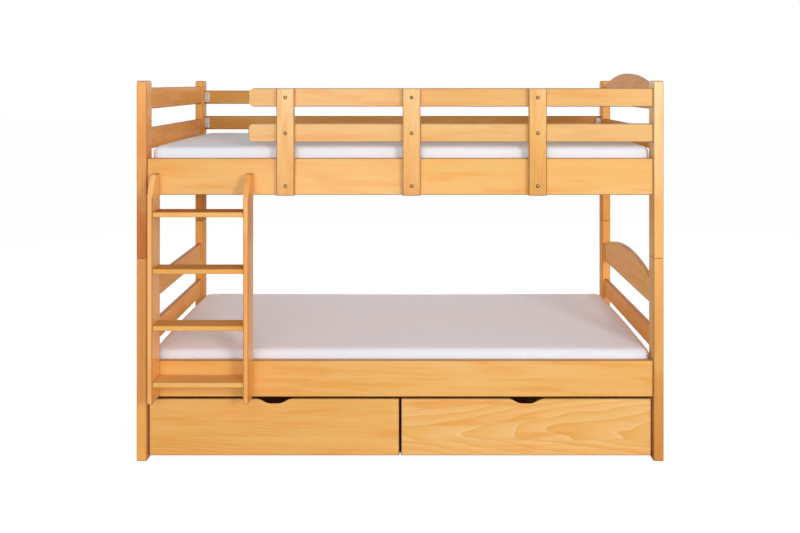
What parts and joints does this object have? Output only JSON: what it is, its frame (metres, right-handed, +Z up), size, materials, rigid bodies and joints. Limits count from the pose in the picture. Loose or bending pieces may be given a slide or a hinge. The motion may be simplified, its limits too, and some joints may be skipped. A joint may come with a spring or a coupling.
{
  "type": "bunk bed with drawers",
  "caption": "Solid-wood bunk bed with guard rails, a front ladder, slatted bases, mattresses and roll-out underbed drawers.",
  "frame": {"origin": "on the floor, in the middle of the length and of the depth with the ladder", "axes": "+X along the bed, with the ladder at the low end; +Y from the front to the back; +Z up"},
  "size_m": [2.08, 1.061, 1.532],
  "materials": {
    "lacquered_wood": "satin honey lacquer",
    "slat_wood": "planed, bare",
    "drawer_panel": "thin lacquered board",
    "bed_sheet": "woven cotton",
    "wheel_plastic": "moulded",
    "bracket_plastic": "moulded",
    "screw_metal": "yellow zinc"
  },
  "bodies": {
    "bed_frame": {"post_lower_front_left": "lacquered_wood", "post_upper_front_left": "lacquered_wood", "post_lower_back_left": "lacquered_wood", "post_upper_back_left": "lacquered_wood", "post_lower_front_right": "lacquered_wood", "post_upper_front_right": "lacquered_wood", "post_lower_back_right": "lacquered_wood", "post_upper_back_right": "lacquered_wood", "lower_front_rail": "lacquered_wood", "lower_back_rail": "lacquered_wood", "lower_left_end_rail": "lacquered_wood", "lower_left_mid_board": "lacquered_wood", "lower_right_end_rail": "lacquered_wood", "lower_right_mid_board": "lacquered_wood", "lower_left_top_board": "lacquered_wood", "lower_right_arch_board": "lacquered_wood", "lower_slatted_base": "slat_wood", "lower_mattress": "bed_sheet", "upper_front_rail": "lacquered_wood", "upper_back_rail": "lacquered_wood", "upper_left_end_rail": "lacquered_wood", "upper_left_mid_board": "lacquered_wood", "upper_right_end_rail": "lacquered_wood", "upper_right_mid_board": "lacquered_wood", "upper_left_top_board": "lacquered_wood", "upper_right_arch_board": "lacquered_wood", "upper_slatted_base": "slat_wood", "upper_mattress": "bed_sheet", "guard_front_low_rail": "lacquered_wood", "guard_front_top_rail": "lacquered_wood", "guard_upright_1": "lacquered_wood", "guard_upright_2": "lacquered_wood", "guard_upright_3": "lacquered_wood", "guard_back_low_rail": "lacquered_wood", "guard_back_top_rail": "lacquered_wood", "ladder_stile_left": "lacquered_wood", "ladder_stile_right": "lacquered_wood", "ladder_tread_1": "lacquered_wood", "ladder_tread_2": "lacquered_wood", "ladder_tread_3": "lacquered_wood", "ladder_tread_4": "lacquered_wood"},
    "drawer_left": {"drawer_left_front": "lacquered_wood", "drawer_left_back": "lacquered_wood", "drawer_left_side_left": "lacquered_wood", "drawer_left_side_right": "lacquered_wood", "drawer_left_bottom": "drawer_panel"},
    "drawer_left_wheel_front_left": {"drawer_left_wheel_front_left": "wheel_plastic"},
    "drawer_left_wheel_front_right": {"drawer_left_wheel_front_right": "wheel_plastic"},
    "drawer_left_wheel_back_left": {"drawer_left_wheel_back_left": "wheel_plastic"},
    "drawer_left_wheel_back_right": {"drawer_left_wheel_back_right": "wheel_plastic"},
    "drawer_right": {"drawer_right_front": "lacquered_wood", "drawer_right_back": "lacquered_wood", "drawer_right_side_left": "lacquered_wood", "drawer_right_side_right": "lacquered_wood", "drawer_right_bottom": "drawer_panel"},
    "drawer_right_wheel_front_left": {"drawer_right_wheel_front_left": "wheel_plastic"},
    "drawer_right_wheel_front_right": {"drawer_right_wheel_front_right": "wheel_plastic"},
    "drawer_right_wheel_back_left": {"drawer_right_wheel_back_left": "wheel_plastic"},
    "drawer_right_wheel_back_right": {"drawer_right_wheel_back_right": "wheel_plastic"}
  },
  "joints": [
    {"name": "drawer_left_slide", "type": "slide", "parent": "bed_frame", "child": "drawer_left", "axis": [0, -1, 0], "range_m": [0, 0.8]},
    {"name": "drawer_left_wheel_front_left_turn", "type": "hinge", "parent": "drawer_left", "child": "drawer_left_wheel_front_left", "pos_m": [-0.951, -0.3125, 0.025], "axis": [1, 0, 0], "continuous": true},
    {"name": "drawer_left_wheel_front_right_turn", "type": "hinge", "parent": "drawer_left", "child": "drawer_left_wheel_front_right", "pos_m": [-0.046, -0.3125, 0.025], "axis": [1, 0, 0], "continuous": true},
    {"name": "drawer_left_wheel_back_left_turn", "type": "hinge", "parent": "drawer_left", "child": "drawer_left_wheel_back_left", "pos_m": [-0.951, 0.3095, 0.025], "axis": [1, 0, 0], "continuous": true},
    {"name": "drawer_left_wheel_back_right_turn", "type": "hinge", "parent": "drawer_left", "child": "drawer_left_wheel_back_right", "pos_m": [-0.046, 0.3095, 0.025], "axis": [1, 0, 0], "continuous": true},
    {"name": "drawer_right_slide", "type": "slide", "parent": "bed_frame", "child": "drawer_right", "axis": [0, -1, 0], "range_m": [0, 0.8]},
    {"name": "drawer_right_wheel_front_left_turn", "type": "hinge", "parent": "drawer_right", "child": "drawer_right_wheel_front_left", "pos_m": [0.046, -0.3125, 0.025], "axis": [1, 0, 0], "continuous": true},
    {"name": "drawer_right_wheel_front_right_turn", "type": "hinge", "parent": "drawer_right", "child": "drawer_right_wheel_front_right", "pos_m": [0.951, -0.3125, 0.025], "axis": [1, 0, 0], "continuous": true},
    {"name": "drawer_right_wheel_back_left_turn", "type": "hinge", "parent": "drawer_right", "child": "drawer_right_wheel_back_left", "pos_m": [0.046, 0.3095, 0.025], "axis": [1, 0, 0], "continuous": true},
    {"name": "drawer_right_wheel_back_right_turn", "type": "hinge", "parent": "drawer_right", "child": "drawer_right_wheel_back_right", "pos_m": [0.951, 0.3095, 0.025], "axis": [1, 0, 0], "continuous": true}
  ],
  "couplings": [
    {"joint": "drawer_left_wheel_front_left_turn", "follows": "drawer_left_slide", "rad_per_m": 40},
    {"joint": "drawer_left_wheel_front_right_turn", "follows": "drawer_left_slide", "rad_per_m": 40},
    {"joint": "drawer_left_wheel_back_left_turn", "follows": "drawer_left_slide", "rad_per_m": 40},
    {"joint": "drawer_left_wheel_back_right_turn", "follows": "drawer_left_slide", "rad_per_m": 40},
    {"joint": "drawer_right_wheel_front_left_turn", "follows": "drawer_right_slide", "rad_per_m": 40},
    {"joint": "drawer_right_wheel_front_right_turn", "follows": "drawer_right_slide", "rad_per_m": 40},
    {"joint": "drawer_right_wheel_back_left_turn", "follows": "drawer_right_slide", "rad_per_m": 40},
    {"joint": "drawer_right_wheel_back_right_turn", "follows": "drawer_right_slide", "rad_per_m": 40}
  ]
}
